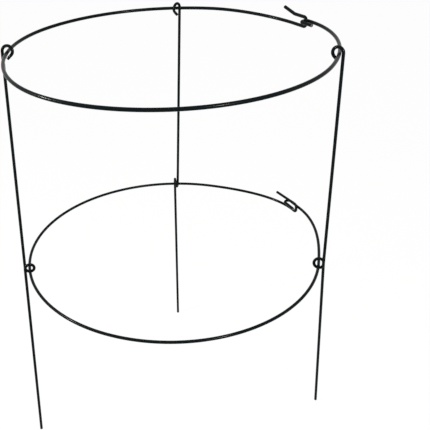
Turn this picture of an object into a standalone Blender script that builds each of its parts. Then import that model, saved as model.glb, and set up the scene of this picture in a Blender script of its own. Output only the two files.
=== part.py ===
"""Ring plant support: two open wire rings held one above the other by three wire legs.

Five lengths of coated steel wire, each bent cold into one piece. The rings lie level round the Z axis and
the tips of the legs stand on Z = 0. An angle is measured from +X, counter-clockwise from above, and
"ccw" is that direction along a ring. Metres.
"""

import bpy
import numpy as np
from math import cos, degrees, pi, radians, sin, sqrt

# Rings
UPPER_RADIUS = 0.2000          # to the middle of the wire
LOWER_RADIUS = 0.2006
UPPER_WIRE = 0.0045            # wire diameters, coat included
LOWER_WIRE = 0.0040
UPPER_HEIGHT = 0.5686          # ring plane above the tips of the legs
LOWER_HEIGHT = 0.2813

# Legs
LEG_WIRE = 0.0040
TIP_SPREAD = 0.0187            # the tips stand this much outside the lower ring
CUT_CHAMFER = 0.0004           # on every cut end
LEG_ANGLES = {                 # name: angle of its eye, of its coil and of its tip
    "leg_back": (81.3, 83.7, 85.2),
    "leg_left": (172.5, 188.3, 193.9),
    "leg_right": (344.3, 342.8, 353.9),
}

# Eye at the top of a leg
EYE_RADIUS = 0.0066            # to the middle of the wire
EYE_SWEEP = 228.0              # degrees of the curl, from the leg over the ring and down inside it
EYE_TAIL = 0.0070              # straight end after the curl
EYE_TWIST = 25.0               # degrees that the eye is turned about its leg, its inner side ccw

# Coil half-way down a leg
COIL_RADIUS = 0.0062           # to the middle of the wire
COIL_GAP = 0.0007              # between the strand that enters and the one that leaves

# Hooks that close a ring
HOOK_BEND = 0.0045             # bend radius at the foot and the top of the catch
HOOK_STRAND = 0.0245           # length of the catch's level top strand
HOOK_TAIL = 0.0246             # length of the flared tail behind it
HOOK_FLARE_BEND = 0.012
HOOK_GAP = 0.0006              # the flat hook's turn to the catch's upright inside it
LOOP_RETURN = 0.0209           # the flat hook's returning strand
LOOP_DIP = 0.0004              # the returning strand lies this much lower

# Closure of each ring: where the hooks stand, how its two wire ends leave the circle, how far they overlap
UPPER_CLOSURE = {
    "catch_angle": 23.3,       # of the catch's upright
    "turned": 1.7,             # degrees that the plane of the hooks is turned in from the tangent there
    "catch_out": 0.0051,       # the catch's foot, outside the circle
    "catch_up": -0.0063,       # and above it
    "catch_leaves": 68.0,      # where the catch's wire leaves the circle
    "lift": 0.0028,            # gap between the catch's foot strand and the flat hook over it
    "head": 0.0015,            # gap between the flat hook and the catch's top strand
    "flare": 13.3,             # degrees that the catch's tail rises
    "loop_leaves": -30.0,      # where the flat hook's wire leaves the circle
    "level_run": 0.0080,       # its straight wire in front of the upright
    "slack": 0.0011,           # from the upright to the middle of the flat hook's turn
}
LOWER_CLOSURE = {
    "catch_angle": 23.6,
    "turned": 2.6,
    "catch_out": 0.0114,
    "catch_up": -0.0011,
    "catch_leaves": 68.0,
    "lift": 0.0012,
    "head": 0.0044,
    "flare": 5.0,
    "loop_leaves": -16.0,
    "level_run": 0.0030,
    "slack": 0.0250,
}

SEAT_GAP = 0.0003              # left between two pieces of wire that touch
SEAT_ROUNDS = 6                # rounds in which a leg is moved until it touches both rings
LEAST_SELF_GAP = 0.0004        # a bent wire keeps at least this much clear of itself
WIRE_SIDES = 12
RING_STEP = 3.6                # degrees between stations on a ring
BEND_STEP = 18.0               # degrees between stations on a tight bend
STRAIGHT_STEP = 0.045          # between stations on a straight
COAT = (0.006, 0.010, 0.010)   # black-green plastic coat


def point(radius, angle, height):
    """The point at this radius and angle (degrees) round the Z axis."""
    return np.array([radius * cos(radians(angle)), radius * sin(radians(angle)), height])


def unit(vector):
    return vector / np.linalg.norm(vector)


def straight(start, end):
    """Points from start to end, both included."""
    steps = max(1, round(np.linalg.norm(end - start) / STRAIGHT_STEP))
    return [start + (end - start) * k / steps for k in range(steps + 1)]


def arc(centre, first, second, sweep, step=BEND_STEP):
    """An arc about centre: it starts at centre + first and turns towards centre + second."""
    steps = max(1, round(sweep / step))
    angles = [radians(sweep) * k / steps for k in range(steps + 1)]
    return [centre + first * cos(a) + second * sin(a) for a in angles]


def bend(start, corner, end, radius):
    """The arc of a bend that rounds off a corner between two straight runs."""
    back = unit(start - corner)
    ahead = unit(end - corner)
    half = 0.5 * np.arccos(np.clip(back @ ahead, -1.0, 1.0))
    centre = corner + unit(back + ahead) * radius / sin(half)
    first = corner + back * radius / np.tan(half) - centre
    return arc(centre, first, -back * radius, 180.0 - 2.0 * degrees(half))


def ease(start, heading, end, arrival):
    """A wire that runs smoothly from start in the direction heading to end in the direction arrival."""
    length = np.linalg.norm(end - start)
    steps = max(4, round(length / (UPPER_RADIUS * radians(RING_STEP))))
    path = []
    for k in range(steps + 1):
        t = k / steps
        path.append(start * (1 - t) ** 2 * (1 + 2 * t) + end * t * t * (3 - 2 * t)
                    + heading * length * t * (1 - t) ** 2 - arrival * length * t * t * (1 - t))
    return path


def joined(*runs):
    """One path through all the runs, without the doubled point where one run ends and the next starts."""
    path = [runs[0][0]]
    for run in runs:
        path += [p for p in run if np.linalg.norm(p - path[-1]) > 1e-6]
    return np.array(path)


def ring_path(radius, wire, closure):
    """A ring's wire at height 0, from the tail of its catch right round to the cut end of its flat hook."""
    # Both hooks lie along one plane. The catch stands up in it, with its open side towards ccw.
    along = point(1.0, closure["catch_angle"] + closure["turned"] + 90.0, 0.0)
    away = point(1.0, closure["catch_angle"] + closure["turned"], 0.0)
    up = np.array([0.0, 0.0, 1.0])
    foot = point(radius + closure["catch_out"], closure["catch_angle"], closure["catch_up"])
    top = foot + up * (2.0 * wire + closure["lift"] + closure["head"])
    strand_end = top + along * HOOK_STRAND
    flare = radians(closure["flare"])
    tail_end = strand_end + (along * cos(flare) + up * sin(flare)) * HOOK_TAIL
    foot_start = foot + along * HOOK_STRAND
    tail_bend = bend(tail_end, strand_end, top, HOOK_FLARE_BEND)
    crown = bend(strand_end, top, foot, HOOK_BEND)
    heel = bend(top, foot, foot_start, HOOK_BEND)
    leaves = closure["catch_leaves"]
    catch_wire = ease(foot_start, along, point(radius, leaves, 0.0), point(1.0, leaves + 90.0, 0.0))

    # The flat hook comes from the other side, passes outside the upright, turns round it and runs back.
    returns = closure["loop_leaves"] + 360.0
    steps = round((returns - leaves) / RING_STEP)
    hoop = [point(radius, leaves + (returns - leaves) * k / steps, 0.0) for k in range(steps + 1)]
    turn_radius = wire + HOOK_GAP
    turn = foot + along * closure["slack"] + up * (wire + closure["lift"])
    side = away * sqrt(turn_radius ** 2 - (0.5 * LOOP_DIP) ** 2) + up * 0.5 * LOOP_DIP
    level_start = foot + up * (wire + closure["lift"]) + side - along * closure["level_run"]
    loop_wire = ease(hoop[-1], point(1.0, returns + 90.0, 0.0), level_start, along)
    loop = arc(turn, side, along * turn_radius, 180.0)
    cut_end = turn - side - along * LOOP_RETURN
    return joined([tail_end], tail_bend, crown, heel, [foot_start], catch_wire, hoop, loop_wire,
                  [level_start], loop, [cut_end])


def leg_path(angles, eye_seat, coil_seat):
    """A leg's wire from the cut end of its eye down to its tip, with the coil round the lower ring.

    eye_seat is the radius of the leg beside the upper ring and the height of the eye's middle there, and
    coil_seat the radius and the height of the coil's middle.
    """
    eye_angle, coil_angle, tip_angle = angles
    up = np.array([0.0, 0.0, 1.0])

    # Where the leg passes outside each ring, and the two ways that it leans
    eye_edge = point(eye_seat[0], eye_angle, eye_seat[1])
    coil_edge = point(coil_seat[0] + COIL_RADIUS, coil_angle, coil_seat[1])
    tip = point(LOWER_RADIUS + TIP_SPREAD, tip_angle, 0.0)
    coil_out = point(1.0, coil_angle, 0.0)
    coil_ccw = point(1.0, coil_angle + 90.0, 0.0)
    pitch = LEG_WIRE + COIL_GAP

    # Eye: an arc from the leg over the ring and down inside it, then a straight tail under the ring
    along = unit(eye_edge - coil_edge)
    eye_out = point(1.0, eye_angle - EYE_TWIST, 0.0)
    eye_out = unit(eye_out - along * (eye_out @ along))
    centre = eye_edge - eye_out * EYE_RADIUS
    curl = arc(centre, eye_out * EYE_RADIUS, along * EYE_RADIUS, EYE_SWEEP)
    way = unit(-eye_out * sin(radians(EYE_SWEEP)) + along * cos(radians(EYE_SWEEP)))
    tail = straight(curl[-1], curl[-1] + way * EYE_TAIL)

    # Coil: one turn down the outside, under the ring, up inside and over it, a pitch further ccw.
    # Its sway makes the wire leave the turn in the direction in which the leg leans.
    down_upper = unit(coil_edge - eye_edge)
    down_lower = unit(tip - coil_edge)
    lean = 0.5 * (down_upper + down_lower) @ coil_ccw
    sway = pitch / (2.0 * pi) - lean * COIL_RADIUS
    steps = round(360.0 / BEND_STEP)
    middle = coil_edge - coil_out * COIL_RADIUS
    coil = []
    for k in range(steps + 1):
        a = 2.0 * pi * k / steps
        advance = pitch * a / (2.0 * pi) - sway * sin(a)
        coil.append(middle + coil_out * COIL_RADIUS * cos(a) - up * COIL_RADIUS * sin(a) + coil_ccw * advance)
    return joined(tail[::-1], curl[::-1], straight(eye_edge, coil[0]), coil, straight(coil[-1], tip))


def dense(path, spacing=0.0004):
    """The same path with points close enough together to measure on."""
    fine = []
    for a, b in zip(path[:-1], path[1:]):
        steps = max(1, int(np.linalg.norm(b - a) / spacing))
        fine += [a + (b - a) * k / steps for k in range(steps)]
    return np.array(fine + [path[-1]])


def place_on(ring, angle):
    """Radius and height of a ring's wire at an angle where only one strand of it passes."""
    turn = (np.degrees(np.arctan2(ring[:, 1], ring[:, 0])) - angle + 180.0) % 360.0 - 180.0
    before = np.where(turn <= 0.0, turn, -np.inf).argmax()
    after = np.where(turn > 0.0, turn, np.inf).argmin()
    share = turn[before] / (turn[before] - turn[after])
    place = ring[before] + (ring[after] - ring[before]) * share
    return np.hypot(place[0], place[1]), place[2]


def gap_to_ring(path, ring):
    """Least distance from a path to the middle of a ring's wire, near the height at which the ring lies."""
    reach = 2.5 * LEG_WIRE
    fine = dense(path)
    fine = fine[(fine[:, 2] > ring[:, 2].min() - reach) & (fine[:, 2] < ring[:, 2].max() + reach)]
    start = ring[:-1]
    run = np.diff(ring, axis=0)
    squared = (run ** 2).sum(axis=1)
    least = np.inf
    for place in fine:
        share = np.clip(((place - start) * run).sum(axis=1) / squared, 0.0, 1.0)
        least = min(least, np.linalg.norm(start + run * share[:, None] - place, axis=1).min())
    return least


def self_gap(path, wire):
    """Least gap of a wire to itself, between points that lie more than a bend apart along it."""
    fine = dense(path, 0.0008)
    along = np.concatenate([[0.0], np.cumsum(np.linalg.norm(np.diff(fine, axis=0), axis=1))])
    least = np.inf
    for k in range(len(fine)):
        others = along > along[k] + 3.0 * wire
        if others.any():
            least = min(least, np.linalg.norm(fine[others] - fine[k], axis=1).min())
    return least - wire


def seated_leg(angles, upper_ring, lower_ring):
    """A leg that leans on the upper ring with its eye and carries the lower ring in its coil.

    The middle of the eye is level with the upper ring, and the lower ring lies on the bottom of the coil.
    """
    eye_sum = 0.5 * (LEG_WIRE + UPPER_WIRE) + SEAT_GAP
    coil_sum = 0.5 * (LEG_WIRE + LOWER_WIRE) + SEAT_GAP
    upper_radius, upper_height = place_on(upper_ring, angles[0])
    lower_radius, lower_height = place_on(lower_ring, angles[1])
    eye_seat = upper_radius + eye_sum
    coil_seat = lower_height + COIL_RADIUS - coil_sum
    for _ in range(SEAT_ROUNDS):
        path = leg_path(angles, (eye_seat, upper_height), (lower_radius, coil_seat))
        eye_seat += eye_sum - gap_to_ring(path, upper_ring)
        coil_seat += gap_to_ring(path, lower_ring) - coil_sum
    return path


def coat_material(name):
    material = bpy.data.materials.new(name)
    material.use_nodes = True
    shader = material.node_tree.nodes["Principled BSDF"]
    shader.inputs["Base Color"].default_value = (*COAT, 1.0)
    shader.inputs["Roughness"].default_value = 0.38
    shader.inputs["Metallic"].default_value = 0.0
    return material


def tube_rows(path, wire, foot):
    """Rings of points round a path, with both cut ends chamfered. With foot, the last end is cut level."""
    headings = [path[1] - path[0]]
    headings += [unit(b - a) + unit(c - b) for a, b, c in zip(path[:-2], path[1:-1], path[2:])]
    headings += [path[-1] - path[-2]]
    headings = [unit(h) for h in headings]
    turns = 2.0 * pi * np.arange(WIRE_SIDES) / WIRE_SIDES
    steep = abs(headings[0][2]) > 0.9
    side = unit(np.cross(headings[0], [1.0, 0.0, 0.0] if steep else [0.0, 0.0, 1.0]))
    rows = []
    for place, heading in zip(path, headings):
        side = unit(side - heading * (side @ heading))
        other = np.cross(heading, side)
        rows.append(place + 0.5 * wire * (np.outer(np.cos(turns), side) + np.outer(np.sin(turns), other)))
    if foot:
        rows[-1] = rows[-1] - np.outer(rows[-1][:, 2] / headings[-1][2], headings[-1])
    narrow = 1.0 - 2.0 * CUT_CHAMFER / wire
    first = path[0] + (rows[0] - path[0]) * narrow
    last = path[-1] + (rows[-1] - path[-1]) * narrow
    rows[0] = rows[0] + headings[0] * CUT_CHAMFER
    rows[-1] = rows[-1] - headings[-1] * CUT_CHAMFER
    return [first] + rows + [last]


def wire_object(name, path, wire, origin, parent=None, foot=False):
    """One piece: a closed tube of coated wire along the path, its origin on the axis of the rings."""
    rows = tube_rows(path, wire, foot)
    corners = np.concatenate(rows) - origin
    faces = [tuple(range(WIRE_SIDES))[::-1], tuple(range(len(corners) - WIRE_SIDES, len(corners)))]
    for row in range(len(rows) - 1):
        for k in range(WIRE_SIDES):
            a = row * WIRE_SIDES + k
            b = row * WIRE_SIDES + (k + 1) % WIRE_SIDES
            faces.append((a, b, b + WIRE_SIDES, a + WIRE_SIDES))
    mesh = bpy.data.meshes.new(name)
    mesh.from_pydata(corners.tolist(), [], faces)
    mesh.shade_smooth()
    mesh.set_sharp_from_angle(angle=radians(35.0))
    mesh.materials.append(coat_material(name + "_coat"))
    piece = bpy.data.objects.new(name, mesh)
    piece.location = origin
    if parent:
        piece.parent = parent
        piece.location = origin - np.array(parent.location)
    bpy.context.collection.objects.link(piece)
    gap = self_gap(path, wire)
    print(f"{name}: {len(rows)} stations, least gap to itself {gap * 1000:.2f} mm")
    if gap < LEAST_SELF_GAP:
        print(f"{name}: closer to itself than {LEAST_SELF_GAP * 1000:.1f} mm")
    return piece


for old in list(bpy.data.objects):
    bpy.data.objects.remove(old, do_unlink=True)

# Every piece has its origin on the Z axis, round which the legs and the lower ring slide.
upper_centre = np.array([0.0, 0.0, UPPER_HEIGHT])
lower_centre = np.array([0.0, 0.0, LOWER_HEIGHT])
upper_path = ring_path(UPPER_RADIUS, UPPER_WIRE, UPPER_CLOSURE) + upper_centre
lower_path = ring_path(LOWER_RADIUS, LOWER_WIRE, LOWER_CLOSURE) + lower_centre
upper_ring = wire_object("upper_ring", upper_path, UPPER_WIRE, upper_centre)
wire_object("lower_ring", lower_path, LOWER_WIRE, lower_centre, upper_ring)
for name, angles in LEG_ANGLES.items():
    wire_object(name, seated_leg(angles, upper_path, lower_path), LEG_WIRE, upper_centre, upper_ring, foot=True)
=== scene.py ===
"""Ring plant support: two coated wire rings, closed by hooks and carried by three wire legs.

The sections follow the support as it goes together: the view, the upper ring, the lower ring, the three
legs, then the floor and the light. Metres, Z up, the tips of the legs on Z = 0. An angle is in degrees
round Z, counter-clockwise from +X, and "ccw" is that direction along a ring.
"""

from math import cos, degrees, pi, radians, sin, sqrt

import bpy
import numpy as np
from mathutils import Matrix, Vector


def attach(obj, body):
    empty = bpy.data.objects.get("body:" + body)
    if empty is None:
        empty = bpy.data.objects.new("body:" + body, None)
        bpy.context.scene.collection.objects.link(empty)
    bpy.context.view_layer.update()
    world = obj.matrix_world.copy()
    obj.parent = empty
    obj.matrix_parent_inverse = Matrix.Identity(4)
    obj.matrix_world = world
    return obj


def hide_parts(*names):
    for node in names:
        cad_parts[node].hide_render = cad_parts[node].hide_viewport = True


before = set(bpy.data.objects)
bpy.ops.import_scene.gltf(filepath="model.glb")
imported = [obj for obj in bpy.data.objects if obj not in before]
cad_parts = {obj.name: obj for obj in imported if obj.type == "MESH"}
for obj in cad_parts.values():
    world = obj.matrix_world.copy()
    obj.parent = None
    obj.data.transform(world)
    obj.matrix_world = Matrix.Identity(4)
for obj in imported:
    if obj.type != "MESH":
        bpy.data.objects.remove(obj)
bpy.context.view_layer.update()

# The view: a lens as long as 1.6 times the frame's width, 0.82 m above the ground and some 0.85 m from the
# middle of the support, looks down on it. The support stands left of the middle of the picture.
FRAME_PIXELS = 430
FOCAL_PIXELS = 701.6           # focal length in pixels of that frame
CENTRE_PIXEL = 140             # the column that the lens points at
SENSOR_WIDTH = 36.0            # millimetres
CAMERA_PLACE = (-0.0431, -0.8341, 0.8170)
CAMERA_DOWN = 29.79            # degrees below the horizon
CAMERA_ROLL = -3.12            # degrees counter-clockwise about the view

lens = bpy.data.cameras.new("photograph_view")
lens.sensor_width = SENSOR_WIDTH
lens.lens = SENSOR_WIDTH * FOCAL_PIXELS / FRAME_PIXELS
lens.shift_x = 0.5 - CENTRE_PIXEL / FRAME_PIXELS
view = bpy.data.objects.new("photograph_view", lens)
view.matrix_world = (Matrix.Translation(CAMERA_PLACE) @ Matrix.Rotation(radians(90.0 - CAMERA_DOWN), 4, "X")
                     @ Matrix.Rotation(radians(CAMERA_ROLL), 4, "Z"))
bpy.context.collection.objects.link(view)
bpy.context.scene.camera = view

# The upper ring is one length of steel wire with a smooth, black-green plastic coat, rolled to a hoop that
# use has pressed in a little on one side. Its ends are bent cold to hooks: a tall catch with a flared
# tail, and a flat hook that lies round the catch.
UPPER_RADIUS = 0.2000          # to the middle of the wire
UPPER_WIRE = 0.0045            # over the coat
UPPER_HEIGHT = 0.5686          # ring plane above the tips of the legs
UPPER_CLOSURE = {
    "catch_angle": 24.7,       # of the catch's upright
    "turned": 1.2,             # the plane of the hooks is turned this much ccw from the tangent there
    "catch_out": 0.0078,       # the catch's foot, outside the circle
    "catch_up": -0.0070,       # and above it
    "catch_leaves": 68.0,      # where the catch's wire leaves the circle
    "lift": 0.0022,            # gap between the catch's foot strand and the flat hook over it
    "head": 0.0013,            # gap between the flat hook and the catch's top strand
    "strand": 0.0240,          # the catch's level top strand, and its foot strand
    "tail": 0.0222,            # its tail beyond the top strand
    "flare": 14.0,             # which rises this much
    "loop_leaves": -30.0,      # where the flat hook's wire leaves the circle
    "level_run": 0.0002,       # its straight wire in front of the upright
    "slack": 0.0004,           # from the upright to the middle of the flat hook's turn
    "return": 0.0184,          # the flat hook's returning strand
}
HOOK_BEND = 0.0045             # bend radius at the foot and the top of a catch
FLARE_BEND = 0.012             # and where its tail begins
HOOK_GAP = 0.0006              # a flat hook's turn to the catch's upright inside it
LOOP_DIP = 0.0004              # a flat hook's returning strand lies this much lower
PRESSED_IN = 0.0038            # the hoop lies at most this much nearer its middle
PRESSED_ANGLE = 186.0          # where that is
PRESSED_REACH = 45.0           # and how far to either side the hoop is round again
HOOP_STEP = 1.0                # degrees between stations on a hoop
BEND_STEP = 5.0                # and on a tight bend
STRAIGHT_STEP = 0.006          # metres between stations on a straight run
SAME_POINT = 1e-6              # two stations nearer than this are one
UP = np.array([0.0, 0.0, 1.0])


def point(radius, angle, height):
    """The point at a radius and an angle round the Z axis: radius times cosine and sine, and the height."""
    angle = np.radians(angle)
    return np.stack(np.broadcast_arrays(radius * np.cos(angle), radius * np.sin(angle), height), axis=-1)


def unit(vector):
    """The vector over its own length."""
    return vector / np.linalg.norm(vector)


def straight(start, end):
    """Points from start to end, each a fixed share of the way between them."""
    share = np.linspace(0.0, 1.0, 1 + max(1, round(np.linalg.norm(end - start) / STRAIGHT_STEP)))
    return start + np.outer(share, end - start)


def arc(centre, first, second, sweep):
    """An arc: the centre plus first times the cosine and second times the sine of an angle that grows."""
    angle = np.radians(np.linspace(0.0, sweep, 1 + max(1, round(sweep / BEND_STEP))))
    return centre + np.outer(np.cos(angle), first) + np.outer(np.sin(angle), second)


def bend(start, corner, end, radius):
    """The arc that rounds off a corner. It meets each run at radius over the tangent of half the angle."""
    back = unit(start - corner)
    ahead = unit(end - corner)
    half = 0.5 * np.arccos(np.clip(back @ ahead, -1.0, 1.0))
    centre = corner + unit(back + ahead) * radius / np.sin(half)
    first = corner + back * radius / np.tan(half) - centre
    return arc(centre, first, -back * radius, 180.0 - 2.0 * degrees(half))


def ease(start, heading, end, arrival):
    """A cubic that leaves start along heading and reaches end along arrival, both as long as the chord."""
    length = np.linalg.norm(end - start)
    t = np.linspace(0.0, 1.0, 1 + round(length / (UPPER_RADIUS * radians(HOOP_STEP))))[:, None]
    return (start * (1 - t) ** 2 * (1 + 2 * t) + end * t ** 2 * (3 - 2 * t)
            + heading * length * t * (1 - t) ** 2 - arrival * length * t ** 2 * (1 - t))


def joined(*runs):
    """One path through all the runs, without the doubled point where one run ends and the next starts."""
    path = np.vstack(runs)
    apart = np.linalg.norm(np.diff(path, axis=0), axis=1) > SAME_POINT
    return path[np.concatenate([[True], apart])]


def ring_path(radius, wire, height, closure):
    """A ring's wire from the tail of its catch right round to the cut end of its flat hook.

    Straight strands, round bends and one hoop, with a cubic where each end leaves the circle.
    """
    along = point(1.0, closure["catch_angle"] + closure["turned"] + 90.0, 0.0)
    away = point(1.0, closure["catch_angle"] + closure["turned"], 0.0)
    foot = point(radius + closure["catch_out"], closure["catch_angle"], height + closure["catch_up"])
    top = foot + UP * (2.0 * wire + closure["lift"] + closure["head"])
    strand_end = top + along * closure["strand"]
    flare = radians(closure["flare"])
    tail_end = strand_end + (along * cos(flare) + UP * sin(flare)) * closure["tail"]
    foot_start = foot + along * closure["strand"]
    tail_bend = bend(tail_end, strand_end, top, FLARE_BEND)
    crown = bend(strand_end, top, foot, HOOK_BEND)
    heel = bend(top, foot, foot_start, HOOK_BEND)
    leaves = closure["catch_leaves"]
    returns = closure["loop_leaves"] + 360.0
    hoop = point(radius, np.linspace(leaves, returns, 1 + round((returns - leaves) / HOOP_STEP)), height)
    catch_wire = ease(foot_start, along, hoop[0], point(1.0, leaves + 90.0, 0.0))

    turn_radius = wire + HOOK_GAP
    level = foot + UP * (wire + closure["lift"])
    turn = level + along * closure["slack"]
    side = away * sqrt(turn_radius ** 2 - (0.5 * LOOP_DIP) ** 2) + UP * 0.5 * LOOP_DIP
    level_start = level + side - along * closure["level_run"]
    loop_wire = ease(hoop[-1], point(1.0, returns + 90.0, 0.0), level_start, along)
    loop = arc(turn, side, along * turn_radius, 180.0)
    cut_end = turn - side - along * closure["return"]
    return joined(straight(tail_end, tail_bend[0]), tail_bend, straight(tail_bend[-1], crown[0]), crown,
                  straight(crown[-1], heel[0]), heel, straight(heel[-1], foot_start), catch_wire, hoop,
                  loop_wire, straight(level_start, loop[0]), loop, straight(loop[-1], cut_end))


def pressed_in(path):
    """The path drawn in towards the Z axis, by PRESSED_IN at PRESSED_ANGLE and less to either side of it.

    The draw falls off with the squared cosine of a quarter turn times the angle away over PRESSED_REACH.
    """
    turn = (np.degrees(np.arctan2(path[:, 1], path[:, 0])) - PRESSED_ANGLE + 180.0) % 360.0 - 180.0
    away = np.clip(turn / PRESSED_REACH, -1.0, 1.0)
    inward = PRESSED_IN * np.cos(0.5 * pi * away) ** 2 / np.hypot(path[:, 0], path[:, 1])
    return path - path * [1.0, 1.0, 0.0] * inward[:, None]


# A cut end: the shear rounds the coat's rim and bares the steel, which lies a little deeper.
WIRE_SIDES = 32                # corners of every circle round a wire
COAT_DEPTH = 0.00030           # thickness of the coat
RIM_ROUND = 0.00028            # radius of the rim
RIM_STEPS = 6                  # circles on the rim
COAT_LIP = 0.00004             # width of the slope at the coat's inner edge
LIP_DEEP = 0.000024            # and its depth
CORE_DEEP = 0.00008            # how far the bare steel lies behind the rim
CORE_BULGE = 0.00006           # and bulges in its middle
CORE_SHARES = (0.98, 0.75, 0.5, 0.25)  # radii of the circles on it, over its own


def end_profile(wire):
    """A cut end as circles of (distance in from the end, radius, is it steel), from the side inwards.

    The rim is a quarter of a circle, a sine and a cosine, and the steel bulges with the radius squared.
    """
    turn = np.radians(np.linspace(0.0, 90.0, RIM_STEPS))
    rim = np.stack([RIM_ROUND * (1.0 - np.sin(turn)), 0.5 * wire - RIM_ROUND * (1.0 - np.cos(turn)),
                    0 * turn], 1)
    core = 0.5 * wire - COAT_DEPTH
    share = np.array(CORE_SHARES)
    steel = np.stack([CORE_DEEP - CORE_BULGE * (1.0 - share ** 2), core * share, 1.0 + 0 * share], 1)
    return np.vstack([rim, [[0.0, core + COAT_LIP, 0.0], [LIP_DEEP, core, 0.0]], steel])


NEARLY_UPRIGHT = 0.9           # share of the first heading along Z, above which the rows start from X


def wire_rows(path, wire, level_tip):
    """Every row of a wire: its centre, heading, side direction and radius, whether it is bare steel, its
    distance along the wire, and whether it lies level.

    A row is a circle square to the wire. Each row's side direction is the last one's, less its share along
    the new heading, so that the rows don't twist. With level_tip, the last end is sheared to lie level.
    """
    steps = np.diff(path, axis=0)
    steps /= np.linalg.norm(steps, axis=1)[:, None]
    heading = np.vstack([steps[:1], steps[1:] + steps[:-1], steps[-1:]])
    heading /= np.linalg.norm(heading, axis=1)[:, None]
    along = np.concatenate([[0.0], np.cumsum(np.linalg.norm(np.diff(path, axis=0), axis=1))])
    side = np.empty_like(path)
    upright = abs(heading[0][2]) > NEARLY_UPRIGHT
    across = np.cross(heading[0], np.array([1.0, 0.0, 0.0]) if upright else UP)
    for row, ahead in enumerate(heading):
        across = unit(across - ahead * (across @ ahead))
        side[row] = across
    profile = end_profile(wire)
    inset, radius, steel = profile.T
    first = np.arange(len(profile))[::-1]
    last = np.arange(len(profile))
    body = slice(1, -1)
    centres = np.vstack([path[0] + np.outer(inset[first], heading[0]), path[body],
                         path[-1] - np.outer(inset[last], heading[-1])])
    headings = np.vstack([np.repeat(heading[:1], len(first), 0), heading[body],
                          np.repeat(heading[-1:], len(last), 0)])
    sides = np.vstack([np.repeat(side[:1], len(first), 0), side[body], np.repeat(side[-1:], len(last), 0)])
    radii = np.concatenate([radius[first], np.full(len(path) - 2, 0.5 * wire), radius[last]])
    core = np.concatenate([steel[first], np.zeros(len(path) - 2), steel[last]])
    places = np.concatenate([inset[first], along[body], along[-1] - inset[last]])
    level = np.zeros(len(centres), bool)
    level[len(centres) - len(last):] = level_tip
    return centres, headings, sides, radii, core, places, level


SHARP_ANGLE = 50.0             # an edge steeper than this, at a cut end, stays sharp


def wire_piece(name, path, wire, body, level_tip=False):
    """A closed wire: circles carried along the path, the centre of each end shut with a small fan.

    Each point is its row's centre plus the radius times (side times cosine plus other side times sine) of
    its angle round the wire. "lay" keeps that cosine and sine with the distance along the wire.
    """
    centres, headings, sides, radii, core, places, level = wire_rows(path, wire, level_tip)
    others = np.cross(headings, sides)
    turns = 2.0 * pi * np.arange(WIRE_SIDES) / WIRE_SIDES
    cosines = np.cos(turns)[None, :, None]
    sines = np.sin(turns)[None, :, None]
    offset = radii[:, None, None] * (cosines * sides[:, None, :] + sines * others[:, None, :])
    sheared = offset
    if level_tip:
        sheared = offset - headings[:, None, :] * (offset[:, :, 2:] / headings[:, None, 2:])
    corners = centres[:, None, :] + np.where(level[:, None, None], sheared, offset)
    rows = len(centres)
    points = np.vstack([corners.reshape(-1, 3), centres[:1], centres[-1:]])
    row, turn = np.meshgrid(np.arange(rows - 1), np.arange(WIRE_SIDES), indexing="ij")
    a = row * WIRE_SIDES + turn
    b = row * WIRE_SIDES + (turn + 1) % WIRE_SIDES
    quads = np.stack([a, b, b + WIRE_SIDES, a + WIRE_SIDES], -1).reshape(-1, 4)
    ring = np.arange(WIRE_SIDES)
    after = (ring + 1) % WIRE_SIDES
    first_centre = rows * WIRE_SIDES
    start_fan = np.stack([after, ring, np.full(WIRE_SIDES, first_centre)], 1)
    end_row = (rows - 1) * WIRE_SIDES
    end_fan = np.stack([end_row + ring, end_row + after, np.full(WIRE_SIDES, first_centre + 1)], 1)

    mesh = bpy.data.meshes.new(name)
    mesh.from_pydata(points.tolist(), [], quads.tolist() + start_fan.tolist() + end_fan.tolist())
    mesh.shade_smooth()
    mesh.set_sharp_from_angle(angle=radians(SHARP_ANGLE))
    lay = np.concatenate(np.broadcast_arrays(cosines, sines, places[:, None, None]), -1)
    lay = np.vstack([lay.reshape(-1, 3), [[0, 0, places[0]], [0, 0, places[-1]]]])
    mesh.attributes.new("lay", "FLOAT_VECTOR", "POINT").data.foreach_set("vector", lay.ravel())
    steel = np.concatenate([np.repeat(core, WIRE_SIDES), [1.0, 1.0]])
    mesh.attributes.new("bare_steel", "FLOAT", "POINT").data.foreach_set("value", steel)
    piece = bpy.data.objects.new(name, mesh)
    bpy.context.collection.objects.link(piece)
    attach(piece, body)
    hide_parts(body)
    return piece


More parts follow.
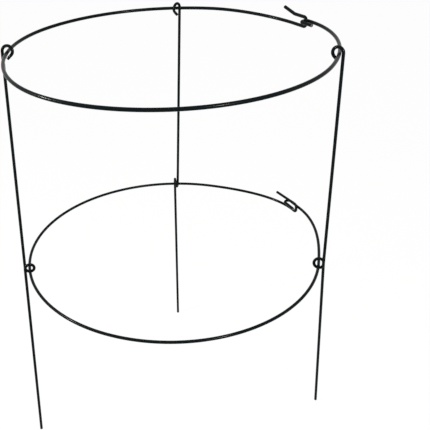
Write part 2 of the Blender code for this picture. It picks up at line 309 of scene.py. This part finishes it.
class Shade:
    """One socket of a node tree. Sums, differences and products of sockets add their Math nodes."""

    def __init__(self, tree, socket=None):
        self.tree = tree
        self.socket = socket

    def add(self, kind, settings, inputs, output=0):
        """Any node: its settings are set first, then the values or links of its sockets."""
        node = self.tree.nodes.new(kind)
        for name, value in settings.items():
            setattr(node, name, value)
        for key, value in inputs.items():
            if isinstance(value, Shade):
                self.tree.links.new(value.socket, node.inputs[key])
            else:
                node.inputs[key].default_value = value
        return Shade(self.tree, node.outputs[output] if node.outputs else None)

    def math(self, operation, first, second):
        """A Math node on two sockets or numbers."""
        return self.add("ShaderNodeMath", {"operation": operation}, {0: first, 1: second})

    def __add__(self, other):
        return self.math("ADD", self, other)

    __radd__ = __add__

    def __mul__(self, other):
        return self.math("MULTIPLY", self, other)

    __rmul__ = __mul__

    def __sub__(self, other):
        return self.math("SUBTRACT", self, other)

    def __rsub__(self, other):
        return self.math("SUBTRACT", other, self)

    def mix(self, first, second):
        """A colour that goes from first to second as this socket goes from 0 to 1."""
        return self.add("ShaderNodeMix", {"data_type": "RGBA"},
                        {"Factor": self, "A": first, "B": second}, 2)

    def noise(self, place, scale, detail=2.0):
        """Noise from 0 to 1 over a place: scale features a metre, and as many finer layers as detail."""
        return self.add("ShaderNodeTexNoise", {}, {"Vector": place, "Scale": scale, "Detail": detail}, 0)

    def steps(self, low, high):
        """0 where this socket is at low or less, 1 at high or more, and smooth between."""
        return self.add("ShaderNodeMapRange", {"interpolation_type": "SMOOTHSTEP"},
                        {"Value": self, "From Min": low, "From Max": high})


COAT_GREEN = (0.0017, 0.0040, 0.0055, 1.0)
COAT_OLIVE = (0.0030, 0.0046, 0.0040, 1.0)
CLOUDS = 30.0                  # clouds of the one in the other, a metre
CLOUD_EDGE = (0.35, 0.75)      # noise at which a cloud begins and is full
STEEL = (0.23, 0.22, 0.205, 1.0)
STEEL_STAIN = (0.10, 0.085, 0.07, 1.0)
STAINS = 900.0                 # stains on the cut steel, a metre
STAIN_EDGE = (0.4, 0.7)        # noise at which a stain begins and is full
DRAWN_LINES = (9.0, 9.0, 6.0)  # how close the fine lines lie, round the wire and along it
SKIN = 1100.0                  # bumps of the uneven skin, a metre
LINE_HEIGHT = 0.5              # share of the lines in the bump
SKIN_HEIGHT = 0.12             # and of the skin
BUMP_DEPTH = 0.00008
BUMP_STRENGTH = 0.2
COAT_ROUGH = 0.16              # roughness where the coat is smoothest
ROUGH_PATCHES = 0.05           # what duller patches add to it
PATCHES = 160.0                # of which this many lie in a metre
ROUGH_LINES = 0.04             # and what the fine lines add
STEEL_ROUGH = 0.42
COAT_IOR = 1.13                # a low one, since the dull skin gives back little of the white all round


def wire_coat():
    """Smooth coat, a little mottled, with fine lines along the wire, and bare steel where it is cut."""
    material = bpy.data.materials.new("wire_coat")
    material.use_nodes = True
    tree = material.node_tree
    shader = tree.nodes["Principled BSDF"]
    shade = Shade(tree)
    place = shade.add("ShaderNodeTexCoord", {}, {}, "Object")
    lay = shade.add("ShaderNodeAttribute", {"attribute_name": "lay"}, {}, "Vector")
    bare = shade.add("ShaderNodeAttribute", {"attribute_name": "bare_steel"}, {}, "Fac")

    coat = shade.noise(place, CLOUDS).steps(*CLOUD_EDGE).mix(COAT_GREEN, COAT_OLIVE)
    steel = shade.noise(place, STAINS, 4.0).steps(*STAIN_EDGE).mix(STEEL, STEEL_STAIN)
    colour = bare.mix(coat, steel)

    # The coat is drawn on through a die, which leaves fine lines along the wire, under an uneven skin.
    drawn = shade.add("ShaderNodeVectorMath", {"operation": "MULTIPLY"}, {0: lay, 1: DRAWN_LINES})
    lines = shade.noise(drawn, 1.0, 3.0)
    skin = shade.noise(place, SKIN)
    coat_rough = COAT_ROUGH + ROUGH_PATCHES * shade.noise(place, PATCHES, 3.0) + ROUGH_LINES * lines
    rough = coat_rough * (1.0 - bare) + STEEL_ROUGH * bare
    height = lines * LINE_HEIGHT + skin * SKIN_HEIGHT
    bumped = shade.add("ShaderNodeBump", {},
                       {"Strength": BUMP_STRENGTH, "Distance": BUMP_DEPTH, "Height": height})
    varying = {"Base Color": colour, "Roughness": rough, "Metallic": bare, "Normal": bumped}
    for name, value in varying.items():
        tree.links.new(value.socket, shader.inputs[name])
    shader.inputs["IOR"].default_value = COAT_IOR
    return material


coat_material = wire_coat()
upper_path = ring_path(UPPER_RADIUS, UPPER_WIRE, UPPER_HEIGHT, UPPER_CLOSURE)
upper_ring = wire_piece("upper_ring_wire", pressed_in(upper_path), UPPER_WIRE, "upper_ring")
upper_ring.data.materials.append(coat_material)

# The lower ring is the same hoop of thinner wire, and it hangs in the coils of the legs. Its hooks have more
# play, so that it stands a little open, and its catch ends in a long, nearly straight tail.
LOWER_RADIUS = 0.2006
LOWER_WIRE = 0.0040
LOWER_HEIGHT = 0.2813
LOWER_CLOSURE = {
    "catch_angle": 25.2,
    "turned": -4.8,
    "catch_out": 0.0147,
    "catch_up": -0.0040,
    "catch_leaves": 68.0,
    "lift": 0.0025,
    "head": 0.0015,
    "strand": 0.0080,
    "tail": 0.0465,
    "flare": -4.0,
    "loop_leaves": -16.0,
    "level_run": 0.0030,
    "slack": 0.0224,
    "return": 0.0220,
}

lower_path = ring_path(LOWER_RADIUS, LOWER_WIRE, LOWER_HEIGHT, LOWER_CLOSURE)
lower_ring = wire_piece("lower_ring_wire", lower_path, LOWER_WIRE, "lower_ring")
lower_ring.data.materials.append(coat_material)

# Each leg is one straightened wire with an open eye that hooks over the upper ring, a full turn round the
# lower ring half-way down, and a plain cut tip. Its bends alone hold it, so it slides round both rings.
# No two eyes are bent to the same turn about their leg.
LEG_WIRE = 0.0040
TIP_SPREAD = 0.0187            # the tips stand this much outside the lower ring
LEG_ANGLES = {                 # name: angle of its eye, of its coil and of its tip
    "leg_back": (81.3, 83.7, 85.2),
    "leg_left": (172.5, 188.3, 193.9),
    "leg_right": (344.3, 342.8, 353.9),
}
EYE_TURNS = {                  # of the eye about its leg, which brings its inner side ccw
    "leg_back": 34.0,
    "leg_left": 2.0,
    "leg_right": 25.0,
}
EYE_RADIUS = 0.0066            # to the middle of the wire
EYE_SWEEP = 228.0              # degrees of the curl, from the leg over the ring and down inside it
EYE_TAIL = 0.0070              # straight end after the curl
COIL_RADIUS = 0.0062           # to the middle of the wire
COIL_GAP = 0.0007              # between the strand that enters and the one that leaves
SEAT_GAP = 0.0003              # left between two wires that touch
SEAT_ROUNDS = 6                # rounds in which a leg is moved until it touches both rings
SEAT_REACH = 0.01              # only what lies this near a ring's level counts there
SEAT_SPLITS = 12               # and each of the leg's steps is split into so many


def leg_path(angles, eye_turn, eye_seat, coil_seat):
    """A leg's wire from the cut end of its eye to its tip: an arc, a run, one turn of a helix and a run.

    The helix sways along its own axis with the sine of its angle, so that it meets both runs smoothly.
    eye_turn is the eye's turn about its leg, eye_seat the radius of the leg beside the upper ring and the
    height of the eye's middle there, and coil_seat the radius and the height of the coil's middle.
    """
    eye_angle, coil_angle, tip_angle = angles
    eye_edge = point(eye_seat[0], eye_angle, eye_seat[1])
    coil_edge = point(coil_seat[0] + COIL_RADIUS, coil_angle, coil_seat[1])
    tip = point(LOWER_RADIUS + TIP_SPREAD, tip_angle, 0.0)
    coil_out = point(1.0, coil_angle, 0.0)
    coil_ccw = point(1.0, coil_angle + 90.0, 0.0)
    pitch = LEG_WIRE + COIL_GAP

    along = unit(eye_edge - coil_edge)
    eye_out = point(1.0, eye_angle - eye_turn, 0.0)
    eye_out = unit(eye_out - along * (eye_out @ along))
    centre = eye_edge - eye_out * EYE_RADIUS
    curl = arc(centre, eye_out * EYE_RADIUS, along * EYE_RADIUS, EYE_SWEEP)
    way = unit(-eye_out * sin(radians(EYE_SWEEP)) + along * cos(radians(EYE_SWEEP)))
    tail = straight(curl[-1], curl[-1] + way * EYE_TAIL)

    down_upper = unit(coil_edge - eye_edge)
    down_lower = unit(tip - coil_edge)
    lean = 0.5 * (down_upper + down_lower) @ coil_ccw
    sway = pitch / (2.0 * pi) - lean * COIL_RADIUS
    turned = np.radians(np.linspace(0.0, 360.0, 1 + round(360.0 / BEND_STEP)))
    advance = pitch * turned / (2.0 * pi) - sway * np.sin(turned)
    coil = (coil_edge - coil_out * COIL_RADIUS + np.outer(COIL_RADIUS * np.cos(turned), coil_out)
            - np.outer(COIL_RADIUS * np.sin(turned), UP) + np.outer(advance, coil_ccw))
    return joined(tail[::-1], curl[::-1], straight(eye_edge, coil[0]), coil, straight(coil[-1], tip))


def place_on(ring, angle):
    """Radius and height of a ring's wire at an angle, in proportion between the points on either side."""
    turn = (np.degrees(np.arctan2(ring[:, 1], ring[:, 0])) - angle + 180.0) % 360.0 - 180.0
    before = np.where(turn <= 0.0, turn, -np.inf).argmax()
    after = np.where(turn > 0.0, turn, np.inf).argmin()
    share = turn[before] / (turn[before] - turn[after])
    place = ring[before] + (ring[after] - ring[before]) * share
    return np.hypot(place[0], place[1]), place[2]


def gap_to_ring(path, ring):
    """Least distance from a path, split fine, to a ring: each point's to the nearest place on each run."""
    share = np.linspace(0.0, 1.0, SEAT_SPLITS, endpoint=False)[:, None, None]
    fine = (path[:-1] + share * (path[1:] - path[:-1])).reshape(-1, 3)
    level = fine[:, 2]
    fine = fine[(level > ring[:, 2].min() - SEAT_REACH) & (level < ring[:, 2].max() + SEAT_REACH)]
    run = np.diff(ring, axis=0)
    way = fine[:, None, :] - ring[None, :-1, :]
    along = np.clip((way * run).sum(axis=2) / (run ** 2).sum(axis=1), 0.0, 1.0)
    return np.linalg.norm(way - along[:, :, None] * run, axis=2).min()


def seated_leg(angles, eye_turn):
    """A leg that leans on the upper ring with its eye, level with it, and carries the lower in its coil.

    The leg is seated on the round hoop, so that its eye clears the pressed one wherever it is slid.
    """
    eye_sum = 0.5 * (LEG_WIRE + UPPER_WIRE) + SEAT_GAP
    coil_sum = 0.5 * (LEG_WIRE + LOWER_WIRE) + SEAT_GAP
    upper_radius, upper_height = place_on(upper_path, angles[0])
    lower_radius, lower_height = place_on(lower_path, angles[1])
    eye_seat = upper_radius + eye_sum
    coil_seat = lower_height + COIL_RADIUS - coil_sum
    for _ in range(SEAT_ROUNDS):
        path = leg_path(angles, eye_turn, (eye_seat, upper_height), (lower_radius, coil_seat))
        eye_seat += eye_sum - gap_to_ring(path, upper_path)
        coil_seat += gap_to_ring(path, lower_path) - coil_sum
    return path


for name, angles in LEG_ANGLES.items():
    leg = wire_piece(name + "_wire", seated_leg(angles, EYE_TURNS[name]), LEG_WIRE, name, level_tip=True)
    leg.data.materials.append(coat_material)

# The floor is a plain sheet of matt white paper. Most of what the camera sees of it is painted plain
# white, so the ground looks as white as in the photograph and the object's shadow stays faint.
FLOOR_HALF = 6.0               # from its middle to each side
FLOOR_WHITE = (0.93, 0.93, 0.93, 1.0)
FLOOR_PAINTED = 0.96           # share of plain white
PLAIN_WHITE = (1.0, 1.0, 1.0, 1.0)

floor_mesh = bpy.data.meshes.new("white_floor")
floor_mesh.from_pydata([(-FLOOR_HALF, -FLOOR_HALF, 0.0), (FLOOR_HALF, -FLOOR_HALF, 0.0),
                        (FLOOR_HALF, FLOOR_HALF, 0.0), (-FLOOR_HALF, FLOOR_HALF, 0.0)], [], [(0, 1, 2, 3)])
floor = bpy.data.objects.new("white_floor", floor_mesh)
bpy.context.collection.objects.link(floor)


def seen(shade):
    """1 on a ray from the camera, off a shiny surface or through a clear one, and 0 on all others."""
    camera, shiny, clear = (shade.add("ShaderNodeLightPath", {}, {}, ray)
                            for ray in ("Is Camera Ray", "Is Glossy Ray", "Is Transmission Ray"))
    return shade.math("MINIMUM", camera + shiny + clear, 1.0)


paper = bpy.data.materials.new("white_paper")
paper.use_nodes = True
paper.node_tree.nodes.clear()
shade = Shade(paper.node_tree)
matt = shade.add("ShaderNodeBsdfDiffuse", {}, {"Color": FLOOR_WHITE})
white = shade.add("ShaderNodeEmission", {}, {"Color": PLAIN_WHITE, "Strength": 1.0})
sheet = shade.add("ShaderNodeMixShader", {}, {0: seen(shade) * FLOOR_PAINTED, 1: matt, 2: white})
shade.add("ShaderNodeOutputMaterial", {}, {"Surface": sheet})
floor_mesh.materials.append(paper)

# The light is a white sky, which the coat mirrors as plain white, one large soft lamp above, and a small
# warm lamp on either side of the camera. The small ones put the glints on the front of both rings.
SKY_LIGHT = 0.5                # strength of the sky as a light on the object
LAMP_AIM = Vector((0.0, 0.0, 0.4))
LAMPS = {                      # name: place, width, watts and colour
    "soft_box": ((-0.9, -0.6, 2.6), 2.4, 4.0, (1.0, 1.0, 1.0)),
    "left_lamp": ((-0.85, -0.13, 0.83), 0.10, 12.0, (1.0, 0.97, 0.88)),
    "right_lamp": ((0.49, -0.93, 0.93), 0.10, 11.0, (1.0, 0.97, 0.88)),
}

sky = bpy.data.worlds.new("white_sky")
bpy.context.scene.world = sky
sky.use_nodes = True
sky.node_tree.nodes.clear()
shade = Shade(sky.node_tree)
strength = SKY_LIGHT + (1.0 - SKY_LIGHT) * seen(shade)
dome = shade.add("ShaderNodeBackground", {}, {"Color": PLAIN_WHITE, "Strength": strength})
shade.add("ShaderNodeOutputWorld", {}, {"Surface": dome})

for name, (place, width, watts, colour) in LAMPS.items():
    light = bpy.data.lights.new(name, "AREA")
    light.shape = "DISK"
    light.size = width
    light.energy = watts
    light.color = colour
    lamp = bpy.data.objects.new(name, light)
    lamp.location = place
    lamp.rotation_euler = (LAMP_AIM - lamp.location).to_track_quat("-Z", "Y").to_euler()
    lamp.visible_camera = False
    bpy.context.collection.objects.link(lamp)

bpy.context.scene.view_settings.view_transform = "Standard"
